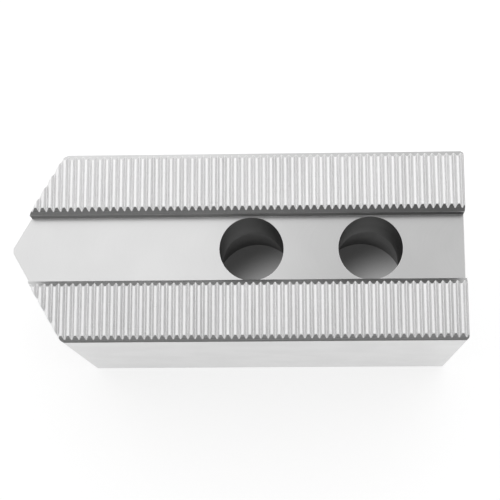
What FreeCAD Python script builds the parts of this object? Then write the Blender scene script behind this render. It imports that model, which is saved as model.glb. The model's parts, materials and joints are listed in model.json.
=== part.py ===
"""Machinable soft top jaw for a power lathe chuck, in millimetres.

The jaw is one block of bar stock. It stands on its plain clamping face, with the
mounting side up: two serrated lands with a key slot between them, and two bolt holes
in the slot's floor that are counterbored from the clamping face. X runs along the
chuck's radius, from the pointed nose at -X to the square tail at +X, and Y runs across
the jaw. The origin is under the middle of the block, on the clamping face.
"""

import FreeCAD, Part
import math
import os
import Sketcher

NODE = "soft_jaw"

# Alias, value in millimetres or degrees, and what the size is.
SIZES = (
    ("length", 95.0, "tip of the nose to the tail face"),
    ("width", 40.0, "side to side"),
    ("height", 50.0, "clamping face to the crests of the serrations"),
    ("nose_angle", 120.0, "angle between the two flanks of the nose"),
    ("nose_flat", 1.2, "width of the flat left on the tip of the nose"),
    ("slot_width", 14.0, "key slot, side to side"),
    ("slot_depth", 4.0, "key slot, crests to floor"),
    ("slot_chamfer", 1.4, "chamfer on both mouth edges of the key slot"),
    ("side_chamfer", 1.3, "chamfer on the long outer edges of the mounting side"),
    ("tail_chamfer", 0.4, "chamfer on the tail edges of the two lands"),
    ("edge_break", 0.5, "chamfer on the upright corners and round the clamping face"),
    ("screw_diameter", 12.0, "jaw screw, thread"),
    ("screw_clearance", 1.5, "bolt hole over the thread, on diameter"),
    ("head_diameter", 18.0, "jaw screw, head"),
    ("head_clearance", 2.0, "counterbore over the head, on diameter"),
    ("head_seat", 20.0, "crests to the shoulder that the screw's head pulls on"),
    ("head_break", 0.5, "chamfer on the mouths of the counterbores"),
    ("screw_spacing", 25.0, "between the two bolt holes, along the slot"),
    ("tail_to_screw", 19.6, "tail face to the nearer bolt hole"),
    ("tooth_pitch", 1.5, "serrations, crest to crest"),
    ("tooth_angle", 60.0, "angle between the two flanks of a groove"),
    ("tooth_depth", 0.75, "serrations, crest to root"),
    ("root_flat", 0.15, "width of the flat at the root of a groove"),
    ("tail_to_groove", 0.6, "tail face to the middle of the nearest groove"),
)

# Sizes that follow from the driving ones.
BORE = "(sizes.screw_diameter + sizes.screw_clearance)"
HEAD_BORE = "(sizes.head_diameter + sizes.head_clearance)"
HEAD_DEPTH = "(sizes.height - sizes.head_seat)"
LAND_START = "((sizes.slot_width - sizes.nose_flat) / 2 / tan(sizes.nose_angle / 2 * 1 deg))"
GROOVED_LENGTH = f"(sizes.length - sizes.tail_to_groove - {LAND_START})"

# How near two coordinates must be to count as the same place.
SAME_PLACE = 0.0001

# The least volume that a cut must take away, in cubic millimetres.
LEAST_CUT = 0.001


def same(first, second):
    """Say whether two coordinates are the same place."""
    return abs(first - second) < SAME_PLACE


def make_sheet(document):
    """Write the driving sizes into a spreadsheet, one row for each."""
    sheet = document.addObject("Spreadsheet::Sheet", "sizes")
    for row, (alias, value, meaning) in enumerate(SIZES, start=1):
        sheet.set(f"A{row}", alias)
        sheet.set(f"B{row}", str(value))
        sheet.setAlias(f"B{row}", alias)
        sheet.set(f"C{row}", meaning)
    document.recompute()
    return sheet


def shoulder_x(sheet):
    """Where the flanks of the nose meet the sides of the block."""
    half_angle = math.radians(sheet.nose_angle / 2)
    return (sheet.width - sheet.nose_flat) / 2 / math.tan(half_angle) - sheet.length / 2


def origin_feature(body, role):
    """Find one of the body's own origin planes or axes."""
    return next(item for item in body.Origin.OriginFeatures if item.Role == role)


def new_sketch(body, name, plane):
    """Start a sketch on one of the body's origin planes."""
    sketch = body.newObject("Sketcher::SketchObject", name)
    sketch.AttachmentSupport = [(origin_feature(body, plane), "")]
    sketch.MapMode = "FlatFace"
    return sketch


def draw_polygon(sketch, corners):
    """Draw a closed chain of lines, each starting at the corner of its own number."""
    points = [FreeCAD.Vector(across, up, 0) for across, up in corners]
    count = len(points)
    for number in range(count):
        line = Part.LineSegment(points[number], points[(number + 1) % count])
        sketch.addGeometry(line, False)
    for number in range(count):
        hold(sketch, ("Coincident", number, 2, (number + 1) % count, 1))


def hold(sketch, *constraints):
    """Add constraints that have no size of their own."""
    for kind, *where in constraints:
        sketch.addConstraint(Sketcher.Constraint(kind, *where))


def measure(sketch, name, expression, kind, *where):
    """Add a dimension to a sketch and bind it to the sheet."""
    value = float(sketch.evalExpression(expression))
    if kind == "Angle":
        value = math.radians(value)
    index = sketch.addConstraint(Sketcher.Constraint(kind, *where, value))
    sketch.renameConstraint(index, name)
    sketch.setExpression(f"Constraints.{name}", expression)


def add_feature(body, kind, name, bound, **settings):
    """Add a PartDesign feature with its bound sizes and its fixed settings."""
    feature = body.newObject(f"PartDesign::{kind}", name)
    for setting, value in settings.items():
        setattr(feature, setting, value)
    for quantity, expression in bound.items():
        feature.setExpression(quantity, expression)
    body.Document.recompute()
    return feature


def cut_feature(body, kind, name, bound, **settings):
    """Add a feature that must take material away, and see that it has."""
    before = body.Shape.Volume
    feature = add_feature(body, kind, name, bound, **settings)
    if before - feature.Shape.Volume < LEAST_CUT:
        raise RuntimeError(f"{name} cuts nothing")
    return feature


def chamfer_edges(body, name, size, test):
    """Chamfer at 45 degrees each edge whose ends and middle pass a test of x, y and z."""
    base = body.Tip
    chosen = []
    for number, edge in enumerate(base.Shape.Edges, start=1):
        middle = edge.valueAt((edge.FirstParameter + edge.LastParameter) / 2)
        places = [vertex.Point for vertex in edge.Vertexes] + [middle]
        if all(test(place.x, place.y, place.z) for place in places):
            chosen.append(f"Edge{number}")
    cut_feature(body, "Chamfer", name, {"Size": size}, Base=(base, chosen))


def pad_block(body, sheet):
    """Pad the bar's outline, seen from above: a square tail and a pointed nose."""
    tail = sheet.length / 2
    side = sheet.width / 2
    upper_half = ((-tail, sheet.nose_flat / 2), (shoulder_x(sheet), side), (tail, side))
    lower_half = tuple((x, -y) for x, y in reversed(upper_half))
    sketch = new_sketch(body, "outline", "XY_Plane")
    draw_polygon(sketch, upper_half + lower_half)
    hold(
        sketch,
        ("Horizontal", 1),
        ("Horizontal", 3),
        ("Vertical", 1, 1, 4, 1),
        ("Symmetric", 2, 1, 2, 2, -1),
        ("Symmetric", 5, 1, 5, 2, -1),
    )
    measure(sketch, "tail", "sizes.length / 2", "DistanceX", -1, 1, 2, 1)
    measure(sketch, "length", "sizes.length", "DistanceX", 0, 1, 2, 1)
    measure(sketch, "width", "sizes.width", "DistanceY", 2, 2, 2, 1)
    measure(sketch, "nose_flat", "sizes.nose_flat", "DistanceY", 5, 1, 5, 2)
    measure(sketch, "nose_flank", "sizes.nose_angle / 2", "Angle", 0)
    add_feature(body, "Pad", "block", {"Length": "sizes.height"}, Profile=(sketch, [""]))


def cut_key_slot(body, sheet):
    """Cut the slot for the chuck's T-nut, from end to end of the mounting side."""
    wall = sheet.slot_width / 2
    crests = sheet.height
    floor = crests - sheet.slot_depth
    sketch = new_sketch(body, "slot_section", "YZ_Plane")
    draw_polygon(sketch, ((-wall, floor), (wall, floor), (wall, crests), (-wall, crests)))
    hold(
        sketch,
        ("Horizontal", 2),
        ("Vertical", 1),
        ("Vertical", 3),
        ("Symmetric", 0, 1, 0, 2, -2),
    )
    measure(sketch, "slot_width", "sizes.slot_width", "DistanceX", 0, 1, 0, 2)
    measure(sketch, "slot_depth", "sizes.slot_depth", "DistanceY", 1, 1, 1, 2)
    measure(sketch, "crests", "sizes.height", "DistanceY", -1, 1, 1, 2)
    through = {"Type": "ThroughAll", "SideType": "Symmetric"}
    cut_feature(body, "Pocket", "key_slot", {}, Profile=(sketch, [""]), **through)


def break_edges(body, sheet):
    """Chamfer the long edges of the two lands, and break the block's other corners."""
    tail = sheet.length / 2
    side = sheet.width / 2
    wall = sheet.slot_width / 2
    crests = sheet.height
    corners = (tail, shoulder_x(sheet))

    def at_corner(x, y, z):
        return same(abs(y), side) and any(same(x, corner) for corner in corners)

    chamfer_edges(body, "corner_breaks", "sizes.edge_break", at_corner)
    chamfer_edges(body, "foot_break", "sizes.edge_break", lambda x, y, z: same(z, 0))
    chamfer_edges(
        body,
        "side_chamfers",
        "sizes.side_chamfer",
        lambda x, y, z: same(abs(y), side) and same(z, crests),
    )
    chamfer_edges(
        body,
        "slot_chamfers",
        "sizes.slot_chamfer",
        lambda x, y, z: same(abs(y), wall) and same(z, crests),
    )
    chamfer_edges(
        body,
        "tail_chamfers",
        "sizes.tail_chamfer",
        lambda x, y, z: same(x, tail) and same(z, crests),
    )


def drill_bolt_holes(body, sheet):
    """Drill the two bolt holes, counterbored from the clamping face."""
    rear = sheet.length / 2 - sheet.tail_to_screw
    front = rear - sheet.screw_spacing
    radius = float(body.evalExpression(BORE)) / 2
    head_radius = float(body.evalExpression(HEAD_BORE)) / 2
    sketch = new_sketch(body, "bolt_centres", "XY_Plane")
    for x in (rear, front):
        centre = FreeCAD.Vector(x, 0, 0)
        sketch.addGeometry(Part.Circle(centre, FreeCAD.Vector(0, 0, 1), radius), False)
    hold(
        sketch,
        ("PointOnObject", 0, 3, -1),
        ("PointOnObject", 1, 3, -1),
        ("Equal", 0, 1),
    )
    measure(sketch, "bore", BORE, "Diameter", 0)
    measure(sketch, "rear", "sizes.length / 2 - sizes.tail_to_screw", "DistanceX", -1, 1, 0, 3)
    measure(sketch, "spacing", "sizes.screw_spacing", "DistanceX", 1, 3, 0, 3)
    cut_feature(
        body,
        "Hole",
        "bolt_holes",
        {"Diameter": BORE, "HoleCutDiameter": HEAD_BORE, "HoleCutDepth": HEAD_DEPTH},
        Profile=(sketch, [""]),
        Reversed=True,
        DepthType="ThroughAll",
        HoleCutType="Counterbore",
        HoleCutCustomValues=True,
    )

    def at_mouth(x, y, z):
        off_centre = min(math.hypot(x - rear, y), math.hypot(x - front, y))
        return same(z, 0) and same(off_centre, head_radius)

    chamfer_edges(body, "head_breaks", "sizes.head_break", at_mouth)


def cut_serrations(body, sheet):
    """Cut one V groove across both lands, and repeat it up to the nose."""
    middle = sheet.length / 2 - sheet.tail_to_groove
    crests = sheet.height
    root = crests - sheet.tooth_depth
    root_half = sheet.root_flat / 2
    mouth_half = root_half + sheet.tooth_depth * math.tan(math.radians(sheet.tooth_angle / 2))
    sketch = new_sketch(body, "groove_section", "XZ_Plane")
    draw_polygon(
        sketch,
        (
            (middle - root_half, root),
            (middle + root_half, root),
            (middle + mouth_half, crests),
            (middle - mouth_half, crests),
        ),
    )
    hold(sketch, ("Horizontal", 0), ("Horizontal", 2), ("Equal", 1, 3))
    measure(sketch, "root_flat", "sizes.root_flat", "DistanceX", 0, 1, 0, 2)
    measure(sketch, "flank", "90 - sizes.tooth_angle / 2", "Angle", 1)
    measure(sketch, "tooth_depth", "sizes.tooth_depth", "DistanceY", 1, 1, 1, 2)
    measure(sketch, "crests", "sizes.height", "DistanceY", -1, 1, 1, 2)
    root_end = "sizes.length / 2 - sizes.tail_to_groove + sizes.root_flat / 2"
    measure(sketch, "root_end", root_end, "DistanceX", -1, 1, 0, 2)
    through = {"Type": "ThroughAll", "SideType": "Symmetric"}
    groove = cut_feature(body, "Pocket", "groove", {}, Profile=(sketch, [""]), **through)

    serrations = add_feature(
        body,
        "LinearPattern",
        "serrations",
        {
            "Offset": "sizes.tooth_pitch",
            "Occurrences": f"floor({GROOVED_LENGTH} / sizes.tooth_pitch) + 1",
        },
        Originals=[groove],
        Direction=(origin_feature(body, "X_Axis"), [""]),
        Reversed=True,
        Mode="Spacing",
    )
    body.Tip = serrations


def check(document, body):
    """Stop if any object failed, or if the jaw isn't one sound solid."""
    for item in document.Objects:
        if {"Invalid", "Error"} & set(item.State):
            raise RuntimeError(f"{item.Label} failed: {item.State}")
    if body.Shape.isNull() or not body.Shape.isValid() or len(body.Shape.Solids) != 1:
        raise RuntimeError(f"{body.Label} isn't one sound solid")


def main():
    """Build the jaw, check it and write its STEP file."""
    document = FreeCAD.newDocument(NODE)
    sheet = make_sheet(document)
    body = document.addObject("PartDesign::Body", NODE)
    body.Label = NODE
    pad_block(body, sheet)
    cut_key_slot(body, sheet)
    break_edges(body, sheet)
    drill_bolt_holes(body, sheet)
    cut_serrations(body, sheet)
    document.recompute()
    check(document, body)
    os.makedirs("parts", exist_ok=True)
    body.Shape.exportStep(f"parts/{NODE}.step")
    print(f"{NODE}: {body.Shape.Volume:.1f} mm3, {len(body.Shape.Faces)} faces")


main()
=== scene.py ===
"""Machinable soft top jaw: its finishes, its table, its light and its camera.

The frame holds the jaw's own solid. This file copies that solid, rounds its edges as a
deburring stone does, gives each machined surface the marks of the cutter that made it,
with painted shade in the tone of several surfaces, and sets the jaw on a pale table in a
light tent, with a painted pool of light at the bottom of its bores. Lengths are in metres
and angles in degrees. X runs along the jaw from its nose to its tail, Y across it, and Z
up from its clamping face to its serrated side.
"""

import json
import logging
import math
from dataclasses import dataclass, field, replace
from enum import Enum, IntEnum

import bpy
from mathutils import Matrix, Vector


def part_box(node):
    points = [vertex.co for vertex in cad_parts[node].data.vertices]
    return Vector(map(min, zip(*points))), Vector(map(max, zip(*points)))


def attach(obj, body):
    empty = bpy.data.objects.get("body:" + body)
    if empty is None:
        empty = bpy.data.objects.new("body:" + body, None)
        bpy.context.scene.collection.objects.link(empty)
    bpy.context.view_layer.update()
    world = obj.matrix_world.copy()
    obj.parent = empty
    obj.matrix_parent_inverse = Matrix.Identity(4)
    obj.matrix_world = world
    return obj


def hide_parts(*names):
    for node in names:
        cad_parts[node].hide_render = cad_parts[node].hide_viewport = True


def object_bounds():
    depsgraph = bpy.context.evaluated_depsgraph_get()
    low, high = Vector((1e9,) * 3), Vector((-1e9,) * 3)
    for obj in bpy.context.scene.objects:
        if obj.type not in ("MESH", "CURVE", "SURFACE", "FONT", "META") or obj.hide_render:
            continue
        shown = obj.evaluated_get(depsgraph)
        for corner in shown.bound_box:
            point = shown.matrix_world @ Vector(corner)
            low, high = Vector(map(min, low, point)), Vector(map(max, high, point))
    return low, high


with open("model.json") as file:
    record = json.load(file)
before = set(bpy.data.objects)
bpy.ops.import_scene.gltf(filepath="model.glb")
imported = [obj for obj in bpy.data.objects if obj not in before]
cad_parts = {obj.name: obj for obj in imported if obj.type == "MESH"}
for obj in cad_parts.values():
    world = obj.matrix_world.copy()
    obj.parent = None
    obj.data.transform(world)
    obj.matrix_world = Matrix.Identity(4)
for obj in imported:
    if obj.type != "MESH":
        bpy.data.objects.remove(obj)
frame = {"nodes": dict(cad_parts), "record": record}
CAD_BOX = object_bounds()

NODE = "soft_jaw"
BODY = "root"
MM = 0.001
MICRON = 0.000001

# The part of its range that a noise texture really covers: broad clouds, and fine marks.
CLOUD_RANGE = (0.3, 0.7)
MARK_RANGE = (0.2, 0.8)

# How far a face's normal points along an axis: leaning to it, steeply, or straight along it.
# A broken edge lies half-way between two axes.
LEANING = 0.3
STEEP = 0.5
STRAIGHT = 0.9
HALF_WAY = (0.6, 0.8)

log = logging.getLogger("soft_jaw_scene")


class Surface(IntEnum):
    """The machined surfaces of the jaw, in the order of the piece's material slots."""

    NORTH_LAND = 0
    SOUTH_LAND = 1
    SLOT_FLOOR = 2
    SLOT_WALL = 3
    CHAMFER = 4
    SOUTH_CHAMFER = 5
    SIDE = 6
    END = 7
    FOOT = 8
    BOLT_HOLE = 9
    HEAD_BORE = 10
    TAIL_BREAK = 11
    EDGE = 12


class Lay(Enum):
    """How a cutter's marks run over the surface that it made."""

    ALONG_X = "straight marks along the jaw"
    ALONG_Y = "straight marks across the jaw"
    ARCS = "the arcs of a mill fed along the jaw"
    RINGS = "rings round an upright bore"


class NodeTree:
    """A node tree that is built one node at a time."""

    def __init__(self, tree: bpy.types.NodeTree) -> None:
        """Start from an empty tree.

        Args:
            tree: The tree of a material or a world, which is cleared first.
        """
        self.tree = tree
        self.tree.nodes.clear()

    def add(self, kind: str, inputs: dict | None = None, **settings) -> bpy.types.Node:
        """Add a node.

        Args:
            kind: The node's type, without its "ShaderNode" prefix.
            inputs: A number, colour or socket for each named input.
            settings: The node's own properties.

        Returns:
            The new node.
        """
        node = self.tree.nodes.new(f"ShaderNode{kind}")
        for name, value in settings.items():
            setattr(node, name, value)
        for name, value in (inputs or {}).items():
            self.feed(node.inputs[name], value)
        return node

    def feed(self, socket: bpy.types.NodeSocket, value: object) -> None:
        """Link a socket to another one, or set it to a plain value.

        Args:
            socket: The input that is fed.
            value: An output socket, or a number or colour.
        """
        if isinstance(value, bpy.types.NodeSocket):
            self.tree.links.new(value, socket)
        else:
            socket.default_value = value

    def math(self, operation: str, *values: object) -> bpy.types.NodeSocket:
        """Add a Math node.

        Args:
            operation: What the node does, such as "MULTIPLY".
            values: One to three numbers or sockets.

        Returns:
            The node's result.
        """
        node = self.add("Math", operation=operation)
        for socket, value in zip(node.inputs, values):
            self.feed(socket, value)
        return node.outputs[0]

    def distance(
        self, place: bpy.types.NodeSocket, middle: tuple[float, float, float]
    ) -> bpy.types.NodeSocket:
        """Measure how far a point is from a fixed one.

        Args:
            place: The point.
            middle: The fixed point.

        Returns:
            The distance.
        """
        node = self.add("VectorMath", {0: place, 1: middle}, operation="DISTANCE")
        return node.outputs["Value"]

    def ramp(
        self, value: object, low: float, high: float, start: float, end: float
    ) -> bpy.types.NodeSocket:
        """Turn one range of numbers smoothly into another.

        Args:
            value: The number or socket to turn.
            low: Where the old range starts.
            high: Where the old range ends.
            start: What the low end becomes.
            end: What the high end becomes.

        Returns:
            The number in the new range.
        """
        node = self.add(
            "MapRange",
            {"Value": value, "From Min": low, "From Max": high, "To Min": start, "To Max": end},
            interpolation_type="SMOOTHSTEP",
        )
        return node.outputs["Result"]


@dataclass(frozen=True)
class MachinedFinish:
    """Bare metal as one cutter left it.

    Attributes:
        name: The material's name.
        tone: How light the metal is, from 0 to 1.
        roughness: How satin the metal is, from 0, a mirror, to 1.
        lay: How the cutter's marks run.
        feed: The distance from one mark to the next.
        depth: The height of the marks.
        reach: The length of a mark before it fades, for straight marks.
        radius: The cutter's radius, for arcs.
        cloud: The size of the faint clouds in the tone, along each axis.
        tone_swing: How much the tone varies, to each side.
        roughness_swing: How much the roughness varies, to each side.
    """

    name: str
    tone: float
    roughness: float
    lay: Lay
    feed: float
    depth: float
    reach: float = 12 * MM
    radius: float = 7 * MM
    cloud: tuple[float, float, float] = (9 * MM, 9 * MM, 9 * MM)
    tone_swing: float = 0.02
    roughness_swing: float = 0.05

    def material(self) -> bpy.types.Material:
        """Make the finish.

        Returns:
            A new material that follows the piece's own coordinates.
        """
        material = bpy.data.materials.new(self.name)
        material.use_nodes = True
        nodes = NodeTree(material.node_tree)
        place = nodes.add("TexCoord").outputs["Object"]
        marks = self.marks(nodes, place)
        stretch = nodes.add(
            "Mapping", {"Vector": place, "Scale": tuple(1 / size for size in self.cloud)}
        )
        cloud = nodes.add(
            "TexNoise", {"Vector": stretch.outputs["Vector"], "Scale": 1.0, "Detail": 2.0}
        ).outputs["Fac"]
        swing = nodes.math(
            "ADD",
            nodes.ramp(cloud, *CLOUD_RANGE, -self.tone_swing, self.tone_swing),
            nodes.ramp(marks, *MARK_RANGE, -self.tone_swing, self.tone_swing),
        )
        tone = nodes.math("ADD", swing, self.clean_tone(nodes, place))
        roughness = nodes.ramp(
            marks,
            *MARK_RANGE,
            self.roughness - self.roughness_swing,
            self.roughness + self.roughness_swing,
        )
        relief = nodes.add("Bump", {"Height": marks, "Distance": self.depth, "Strength": 1.0})
        metal = nodes.add(
            "BsdfPrincipled",
            {
                "Base Color": nodes.add(
                    "CombineColor", {"Red": tone, "Green": tone, "Blue": tone}
                ).outputs["Color"],
                "Metallic": 1.0,
                "Roughness": roughness,
                "Normal": relief.outputs["Normal"],
            },
        )
        nodes.add("OutputMaterial", {"Surface": metal.outputs["BSDF"]})
        return material

    def clean_tone(self, nodes: NodeTree, place: bpy.types.NodeSocket) -> object:
        """Give the metal's tone without its marks and clouds.

        Args:
            nodes: The material's tree.
            place: The point on the piece.

        Returns:
            A number, or a socket where the tone changes over the piece.
        """
        return self.tone

    def marks(self, nodes: NodeTree, place: bpy.types.NodeSocket) -> bpy.types.NodeSocket:
        """Draw the cutter's marks.

        Args:
            nodes: The material's tree.
            place: The point on the piece.

        Returns:
            The height of the surface, from 0 to 1.
        """
        across = 1 / self.feed
        along = 1 / self.reach
        scales = {
            Lay.ALONG_X: (along, across, across),
            Lay.ALONG_Y: (across, along, across),
            Lay.RINGS: (along, along, across),
        }
        if self.lay is Lay.ARCS:
            streaks = self.arc_phase(nodes, place)
        else:
            streaks = nodes.add(
                "Mapping", {"Vector": place, "Scale": scales[self.lay]}
            ).outputs["Vector"]
        return nodes.add(
            "TexNoise", {"Vector": streaks, "Scale": 1.0, "Detail": 3.0, "Roughness": 0.6}
        ).outputs["Fac"]

    def arc_phase(self, nodes: NodeTree, place: bpy.types.NodeSocket) -> bpy.types.NodeSocket:
        """Bend straight marks into the arcs that a mill leaves as it is fed along X.

        Args:
            nodes: The material's tree.
            place: The point on the piece.

        Returns:
            A point whose first coordinate counts the marks and whose second runs across.
        """
        parts = nodes.add("SeparateXYZ", {"Vector": place})
        squared = nodes.math("MULTIPLY", parts.outputs["Y"], parts.outputs["Y"])
        left = nodes.math("MAXIMUM", nodes.math("SUBTRACT", self.radius**2, squared), 0.0)
        behind = nodes.math("ADD", parts.outputs["X"], nodes.math("SQRT", left))
        count = nodes.math("DIVIDE", behind, self.feed)
        side = nodes.math("DIVIDE", parts.outputs["Y"], self.reach)
        return nodes.add("CombineXYZ", {"X": count, "Y": side}).outputs["Vector"]


@dataclass(frozen=True)
class PaintedShadeFinish(MachinedFinish):
    """A finish with painted shade: its tone changes along one axis of the jaw to stand in for
    shade.

    Attributes:
        axis: The axis.
        start: The place along the axis up to which the metal has the finish's own tone.
        stops: Further places along the axis, in rising order, each with its tone; the change
            between them is painted shade.
    """

    axis: str = "Z"
    start: float = 0.0
    stops: tuple[tuple[float, float], ...] = ()

    def clean_tone(self, nodes: NodeTree, place: bpy.types.NodeSocket) -> object:
        """Give the metal's tone without its marks and clouds.

        Args:
            nodes: The material's tree.
            place: The point on the piece.

        Returns:
            A socket, because the tone changes over the piece with painted shade.
        """
        along = nodes.add("SeparateXYZ", {"Vector": place}).outputs[self.axis]
        tone: object = self.tone
        low, before = self.start, self.tone
        for high, after in self.stops:
            tone = nodes.math("ADD", tone, nodes.ramp(along, low, high, 0.0, after - before))
            low, before = high, after
        return tone


# Heights on the serrations and on the outer chamfers.
CREST = CAD_BOX[1].z
ROOT = CREST - 0.75 * MM
CHAMFER_FOOT = CREST - 1.3 * MM

# Painted shade: where along the jaw the slot starts to be painted darker towards the tail, and
# where the painted shade on its floor and on its edges is full. The edges still darken at the
# tail, so their end lies past it.
PAINTED_SHADE_START = -16 * MM
FLOOR_PAINTED_SHADE_FULL = 28 * MM
EDGES_PAINTED_SHADE_FULL = 60 * MM

# Painted shade: the serrations are painted darker from the crest down to the root of each groove,
# where shade falls.
NORTH_LAND = PaintedShadeFinish(
    "cut_serration_north_painted_shade",
    0.60,
    0.45,
    Lay.ALONG_Y,
    0.12 * MM,
    2 * MICRON,
    tone_swing=0.03,
    cloud=(1.7 * MM, 30 * MM, 9 * MM),
    axis="Z",
    start=ROOT,
    stops=((ROOT + 0.2 * MM, 0.89), (CREST - 0.06 * MM, 0.92), (CREST, 0.88)),
)

FINISHES = {
    Surface.NORTH_LAND: NORTH_LAND,
    # Painted shade: the south land is a darker copy of the north one, with the same painted shade
    # towards its groove roots.
    Surface.SOUTH_LAND: replace(
        NORTH_LAND,
        name="cut_serration_south_painted_shade",
        tone=0.52,
        stops=((ROOT + 0.2 * MM, 0.84), (CREST - 0.06 * MM, 0.88), (CREST, 0.85)),
    ),
    # Painted shade: the slot floor is painted darker from the nose towards the tail.
    Surface.SLOT_FLOOR: PaintedShadeFinish(
        "milled_slot_floor_painted_shade",
        0.66,
        0.30,
        Lay.ARCS,
        0.35 * MM,
        0.6 * MICRON,
        tone_swing=0.008,
        roughness_swing=0.02,
        axis="X",
        start=PAINTED_SHADE_START,
        stops=((FLOOR_PAINTED_SHADE_FULL, 0.462),),
    ),
    # Painted shade: the slot walls are painted dark, where shade falls in the slot, and darker
    # still towards the tail.
    Surface.SLOT_WALL: PaintedShadeFinish(
        "milled_slot_wall_painted_shade",
        0.33,
        0.40,
        Lay.ALONG_X,
        0.2 * MM,
        1.5 * MICRON,
        axis="X",
        start=PAINTED_SHADE_START,
        stops=((EDGES_PAINTED_SHADE_FULL, 0.16),),
    ),
    # Painted shade: the chamfers are painted darker towards the tail.
    Surface.CHAMFER: PaintedShadeFinish(
        "cut_chamfer_painted_shade",
        0.68,
        0.30,
        Lay.ALONG_X,
        0.15 * MM,
        1.5 * MICRON,
        axis="X",
        start=PAINTED_SHADE_START,
        stops=((EDGES_PAINTED_SHADE_FULL, 0.46),),
    ),
    # Painted shade: the south chamfer is painted darker than the other chamfers, and darker still
    # towards its foot.
    Surface.SOUTH_CHAMFER: PaintedShadeFinish(
        "cut_south_chamfer_painted_shade",
        0.40,
        0.30,
        Lay.ALONG_X,
        0.15 * MM,
        1.5 * MICRON,
        axis="Z",
        start=CHAMFER_FOOT,
        stops=((CHAMFER_FOOT + 0.4 * MM, 0.62), (CREST, 0.72)),
    ),
    Surface.SIDE: MachinedFinish("ground_side", 0.71, 0.34, Lay.ALONG_X, 0.25 * MM, 2 * MICRON),
    Surface.END: MachinedFinish("milled_end", 0.78, 0.34, Lay.RINGS, 0.3 * MM, 2 * MICRON),
    Surface.FOOT: MachinedFinish(
        "faced_foot", 0.78, 0.34, Lay.ARCS, 0.5 * MM, 2 * MICRON, radius=32 * MM
    ),
    # Painted shade: the bolt holes and head bores are painted dark, where shade falls inside them.
    Surface.BOLT_HOLE: MachinedFinish("drilled_hole_painted_shade", 0.20, 0.45, Lay.RINGS, 0.2 * MM, 5 * MICRON),
    Surface.HEAD_BORE: MachinedFinish("bored_seat_painted_shade", 0.30, 0.45, Lay.RINGS, 0.2 * MM, 4 * MICRON),
    Surface.TAIL_BREAK: MachinedFinish(
        "filed_tail_edge", 0.42, 0.34, Lay.ALONG_Y, 0.2 * MM, 1.5 * MICRON
    ),
    Surface.EDGE: MachinedFinish("stoned_edge", 0.84, 0.30, Lay.ALONG_X, 0.2 * MM, 1 * MICRON),
}


def leave_nothing_selected() -> None:
    """Deselect every object."""
    if bpy.context.object:
        bpy.ops.object.mode_set(mode="OBJECT")
    bpy.ops.object.select_all(action="DESELECT")


def choose(piece: bpy.types.Object) -> None:
    """Select one object alone and make it the active one.

    Args:
        piece: The object to work on.
    """
    leave_nothing_selected()
    piece.select_set(True)
    bpy.context.view_layer.objects.active = piece


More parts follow.
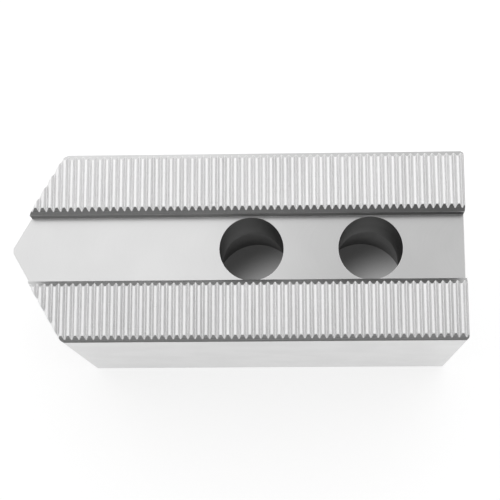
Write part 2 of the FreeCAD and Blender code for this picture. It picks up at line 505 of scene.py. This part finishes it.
@dataclass
class JawBody:
    """The jaw: one block of metal, machined all over.

    Attributes:
        edge_radius: How far a stone has rounded the sharp edges.
        edge_steps: The number of flats in a rounded edge.
        sharp_angle: The least turn between two faces that counts as an edge.
        weld: The distance at which two corners of the solid are one.
        flat_angle: The greatest turn between two triangles of one flat face.
        smooth_angle: The least turn between two faces that are shaded apart.
        near: How near two measures must be to count as the same.
        rim: How deep the bright mouth of a bolt hole reaches, which is left out of the bores'
            painted shade.
    """

    edge_radius: float = 0.07 * MM
    edge_steps: int = 2
    sharp_angle: float = 25.0
    weld: float = 0.002 * MM
    flat_angle: float = 0.2
    smooth_angle: float = 50.0
    near: float = 0.01 * MM
    rim: float = 0.3 * MM
    piece: bpy.types.Object = field(init=False)

    def __post_init__(self) -> None:
        """Read the places of the jaw's surfaces from the frame."""
        self.low, self.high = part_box(NODE)
        self.mounts = {mount["name"]: mount for mount in frame["record"]["mounts"]}
        self.slot_floor_z = self.mounts["key_slot"]["pos_m"][2]
        self.bolt_holes = [self.bore(f"bolt_hole_{place}") for place in ("front", "rear")]
        self.head_bores = [self.bore(f"head_bore_{place}") for place in ("front", "rear")]

    def bore(self, name: str) -> tuple[Vector, float]:
        """Find a bore among the jaw's mounts.

        Args:
            name: The mount's name.

        Returns:
            The middle of the bore's wall, and its radius.
        """
        mount = self.mounts[name]
        return Vector(mount["pos_m"]), mount["dims"]["r_mm"] * MM

    def build(self) -> bpy.types.Object:
        """Make the finished piece.

        Returns:
            The piece that stands for the jaw.
        """
        self.copy_solid()
        self.dress()
        self.round_edges()
        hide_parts(NODE)
        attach(self.piece, BODY)
        return self.piece

    def copy_solid(self) -> None:
        """Copy the jaw's solid, weld its loose triangles and clear its flat faces."""
        leave_nothing_selected()
        solid = frame["nodes"][NODE]
        self.piece = bpy.data.objects.new("jaw_block", solid.data.copy())
        bpy.context.scene.collection.objects.link(self.piece)
        choose(self.piece)
        bpy.ops.object.mode_set(mode="EDIT")
        bpy.ops.mesh.select_all(action="SELECT")
        bpy.ops.mesh.remove_doubles(threshold=self.weld)
        bpy.ops.mesh.customdata_custom_splitnormals_clear()
        bpy.ops.mesh.select_all(action="SELECT")
        bpy.ops.mesh.dissolve_limited(angle_limit=math.radians(self.flat_angle))
        bpy.ops.object.mode_set(mode="OBJECT")

    def is_in(self, place: Vector, bore: tuple[Vector, float]) -> bool:
        """Say whether a place is inside a bore or on its wall, and not at its mouth.

        Args:
            place: The point that is tested.
            bore: The middle of the bore's wall, and its radius.

        Returns:
            True if the point is in the bore.
        """
        middle, radius = bore
        out = math.hypot(place.x - middle.x, place.y - middle.y)
        lowest = self.low.z + self.near
        highest = self.slot_floor_z - self.rim
        return out < radius + self.near and lowest < place.z < highest

    def surface_of(self, centre: Vector, normal: Vector) -> Surface:
        """Say which machined surface a face belongs to.

        Args:
            centre: The middle of the face.
            normal: The way that the face looks.

        Returns:
            The surface.
        """
        for bores, surface in (
            (self.bolt_holes, Surface.BOLT_HOLE),
            (self.head_bores, Surface.HEAD_BORE),
        ):
            if any(self.is_in(centre, bore) for bore in bores):
                return surface
        above_slot = centre.z > self.slot_floor_z
        if abs(centre.z - self.slot_floor_z) < self.near and normal.z > STRAIGHT:
            return Surface.SLOT_FLOOR
        if normal.z < -STRAIGHT:
            return Surface.FOOT if centre.z < self.near else Surface.HEAD_BORE
        if above_slot and HALF_WAY[0] < normal.x < HALF_WAY[1]:
            return Surface.TAIL_BREAK
        if normal.y < -STEEP and normal.z > LEANING and centre.y < -self.high.y / 2:
            return Surface.SOUTH_CHAMFER
        if above_slot and normal.z > LEANING and abs(normal.y) < STEEP:
            return Surface.NORTH_LAND if centre.y > 0.0 else Surface.SOUTH_LAND
        if abs(normal.z) > LEANING:
            return Surface.CHAMFER
        if abs(normal.y) > STRAIGHT:
            inside = abs(centre.y) < self.high.y / 2
            return Surface.SLOT_WALL if inside else Surface.SIDE
        return Surface.END

    def dress(self) -> None:
        """Give each face the finish of the surface that it belongs to."""
        for surface in Surface:
            self.piece.data.materials.append(None)
            self.piece.material_slots[surface].material = FINISHES[surface].material()
        for face in self.piece.data.polygons:
            face.material_index = self.surface_of(face.center, face.normal)

    def round_edges(self) -> None:
        """Round every sharp edge a little, and let the flat faces keep their shading."""
        choose(self.piece)
        bevel = self.piece.modifiers.new("rounded_edges", "BEVEL")
        bevel.width = self.edge_radius
        bevel.segments = self.edge_steps
        bevel.limit_method = "ANGLE"
        bevel.angle_limit = math.radians(self.sharp_angle)
        bevel.miter_outer = "MITER_ARC"
        bevel.material = Surface.EDGE
        bpy.ops.object.modifier_apply(modifier=bevel.name)
        self.dull_inner_rims()
        bpy.ops.object.shade_smooth_by_angle(angle=math.radians(self.smooth_angle))
        weighted = self.piece.modifiers.new("flat_faces_first", "WEIGHTED_NORMAL")
        weighted.keep_sharp = True
        bpy.ops.object.modifier_apply(modifier=weighted.name)

    def dull_inner_rims(self) -> None:
        """Give the rounded rims down inside the bores the finish of the bores, with its painted
        shade.
        """
        for face in self.piece.data.polygons:
            if any(self.is_in(face.center, bore) for bore in self.head_bores):
                if face.material_index == Surface.EDGE:
                    face.material_index = Surface.HEAD_BORE


@dataclass
class Table:
    """The pale table that the jaw stands on.

    Attributes:
        half_width: Half the side of the table's top.
        tone: How light the table's top is.
        glow: What is added where the camera or polished metal sees the table.
        bore_glow: The painted light added instead at the bottom of a bore, where its painted pool
            of light is brightest.
        bore_shade: The painted light added there where its painted shade is darkest.
        lit_side: The middle of the painted pool of light in a bore, on the side the light would
            come from, measured from the bore's axis.
        near_light: The distance from there at which the painted light at the bottom of a bore is
            brightest.
        far_light: The distance from there at which the painted light is darkest.
        lip: How far the painted light and shade of a bore reach past its wall.
    """

    half_width: float = 4.0
    tone: float = 0.40
    glow: float = 0.75
    bore_glow: float = 0.50
    bore_shade: float = 0.033
    lit_side: tuple[float, float] = (10 * MM, -16 * MM)
    near_light: float = 11 * MM
    far_light: float = 27 * MM
    lip: float = 0.8 * MM

    def build(self, bores: list[tuple[Vector, float]]) -> bpy.types.Object:
        """Make the table.

        Args:
            bores: The middle and radius of each bore that shows the table through it.

        Returns:
            The table's top.
        """
        leave_nothing_selected()
        bpy.ops.mesh.primitive_plane_add(size=2 * self.half_width, location=(0, 0, CAD_BOX[0].z))
        table = bpy.context.object
        table.name = "table"
        table.data.materials.append(self.paper(bores))
        return table

    def paper(self, bores: list[tuple[Vector, float]]) -> bpy.types.Material:
        """Make the table's white paper, which shows a shadow and still looks white.

        Args:
            bores: Where the table is at the bottom of a bore, and has a painted pool of light and
                painted shade instead of its glow.

        Returns:
            The paper.
        """
        material = bpy.data.materials.new("white_paper")
        material.use_nodes = True
        nodes = NodeTree(material.node_tree)
        place = nodes.add("TexCoord").outputs["Object"]
        glow: object = self.glow
        east, north = self.lit_side
        # Painted light: at the bottom of each bore the glow gives way to a painted pool of light
        # that fades to painted shade away from the lit side.
        for middle, radius in bores:
            off_axis = nodes.distance(place, (middle.x, middle.y, 0.0))
            off_light = nodes.distance(place, (middle.x + east, middle.y + north, 0.0))
            inside = nodes.math("LESS_THAN", off_axis, radius + self.lip)
            shaded = nodes.ramp(
                off_light, self.near_light, self.far_light, self.bore_glow, self.bore_shade
            )
            change = nodes.math("MULTIPLY", inside, nodes.math("SUBTRACT", shaded, glow))
            glow = nodes.math("ADD", glow, change)
        path = nodes.add("LightPath").outputs
        seen = nodes.math("MAXIMUM", path["Is Camera Ray"], path["Is Glossy Ray"])
        seen = nodes.math("MAXIMUM", seen, path["Is Transmission Ray"])
        matt = nodes.add("BsdfDiffuse", {"Color": (self.tone, self.tone, self.tone, 1.0)})
        light = nodes.add("Emission", {"Strength": nodes.math("MULTIPLY", seen, glow)})
        both = nodes.add("AddShader", {0: matt.outputs[0], 1: light.outputs[0]})
        nodes.add("OutputMaterial", {"Surface": both.outputs[0]})
        return material


@dataclass(frozen=True)
class Glow:
    """A soft bright or dark place on the inside of the light tent.

    Attributes:
        toward: Where it is, seen from the jaw.
        inner: The angle from its middle at which it starts to fade.
        outer: The angle from its middle at which it is gone.
        change: What it adds to the tent's light.
    """

    toward: tuple[float, float, float]
    inner: float
    outer: float
    change: float


@dataclass
class LightTent:
    """A dome of white cloth, lit from outside, which only the camera looks through.

    Attributes:
        radius: The dome's radius.
        segments: The number of flats round the dome.
        level: The light of the cloth where nothing changes it.
        glows: The brighter and darker places.
    """

    radius: float = 1.5
    segments: int = 64
    level: float = 0.70
    glows: tuple[Glow, ...] = (
        Glow((0.0, 0.42, 0.91), 28.0, 60.0, 0.50),
        Glow((0.03, -0.80, 0.60), 34.0, 59.0, -0.52),
        Glow((0.15, -0.25, 0.95), 4.0, 16.0, -0.20),
    )

    def build(self) -> bpy.types.Object:
        """Make the tent.

        Returns:
            The dome.
        """
        leave_nothing_selected()
        bpy.ops.mesh.primitive_uv_sphere_add(
            segments=self.segments, ring_count=self.segments // 2, radius=self.radius
        )
        dome = bpy.context.object
        dome.name = "light_tent"
        dome.visible_camera = False
        dome.data.materials.append(self.cloth())
        return dome

    def cloth(self) -> bpy.types.Material:
        """Make the glowing cloth.

        Returns:
            The cloth.
        """
        material = bpy.data.materials.new("tent_cloth")
        material.use_nodes = True
        nodes = NodeTree(material.node_tree)
        place = nodes.add("TexCoord").outputs["Object"]
        direction = nodes.add("VectorMath", {0: place}, operation="NORMALIZE").outputs["Vector"]
        light: object = self.level
        for glow in self.glows:
            toward = Vector(glow.toward).normalized()
            facing = nodes.add(
                "VectorMath", {0: direction, 1: tuple(toward)}, operation="DOT_PRODUCT"
            ).outputs["Value"]
            share = nodes.ramp(
                facing,
                math.cos(math.radians(glow.outer)),
                math.cos(math.radians(glow.inner)),
                0.0,
                glow.change,
            )
            light = nodes.math("ADD", light, share)
        shine = nodes.add("Emission", {"Strength": nodes.math("MAXIMUM", light, 0.0)})
        nodes.add("OutputMaterial", {"Surface": shine.outputs[0]})
        return material


@dataclass
class Viewpoint:
    """The camera, which looks down on the mounting side from just in front of the jaw.

    Attributes:
        place: Where the camera is.
        target: The point on the mounting side that is in the middle of the picture.
        lens: The focal length in millimetres.
        sensor: The width of the sensor in millimetres.
        clip_start: The distance from which the camera sees things.
        roll: The camera's turn about its own line of sight.
    """

    place: tuple[float, float, float] = (12.65 * MM, -55.43 * MM, 325.03 * MM)
    target: tuple[float, float, float] = (2.73 * MM, -1.02 * MM, 50 * MM)
    lens: float = 97.47
    sensor: float = 36.0
    clip_start: float = 10 * MM
    roll: float = 0.12

    def build(self) -> bpy.types.Object:
        """Make the camera and look through it.

        Returns:
            The camera.
        """
        leave_nothing_selected()
        bpy.ops.object.camera_add(location=self.place)
        camera = bpy.context.object
        ahead = (Vector(self.target) - Vector(self.place)).normalized()
        right = ahead.cross(Vector((0, 1, 0))).normalized()
        upright = Matrix((right, right.cross(ahead), -ahead)).transposed()
        turn = Matrix.Rotation(math.radians(self.roll), 3, ahead)
        camera.rotation_euler = (turn @ upright).to_euler()
        camera.data.lens = self.lens
        camera.data.sensor_width = self.sensor
        camera.data.clip_start = self.clip_start
        bpy.context.scene.camera = camera
        return camera


def white_surroundings() -> None:
    """Make everything beyond the table plain white."""
    world = bpy.data.worlds.new("white_room")
    world.use_nodes = True
    nodes = NodeTree(world.node_tree)
    plain = nodes.add("Background", {"Color": (1.0, 1.0, 1.0, 1.0), "Strength": 1.0})
    nodes.add("OutputWorld", {"Surface": plain.outputs[0]})
    bpy.context.scene.world = world


def main() -> None:
    """Build the jaw, then what stands around it."""
    logging.basicConfig(level=logging.INFO, format="%(name)s: %(message)s")
    bpy.context.scene.view_settings.view_transform = "Standard"
    jaw = JawBody()
    piece = jaw.build()
    log.info("%s: %d faces", piece.name, len(piece.data.polygons))
    for thing in (Table().build(jaw.head_bores), LightTent().build(), Viewpoint().build()):
        log.info("%s is in place", thing.name)
    white_surroundings()


if __name__ == "__main__":
    main()
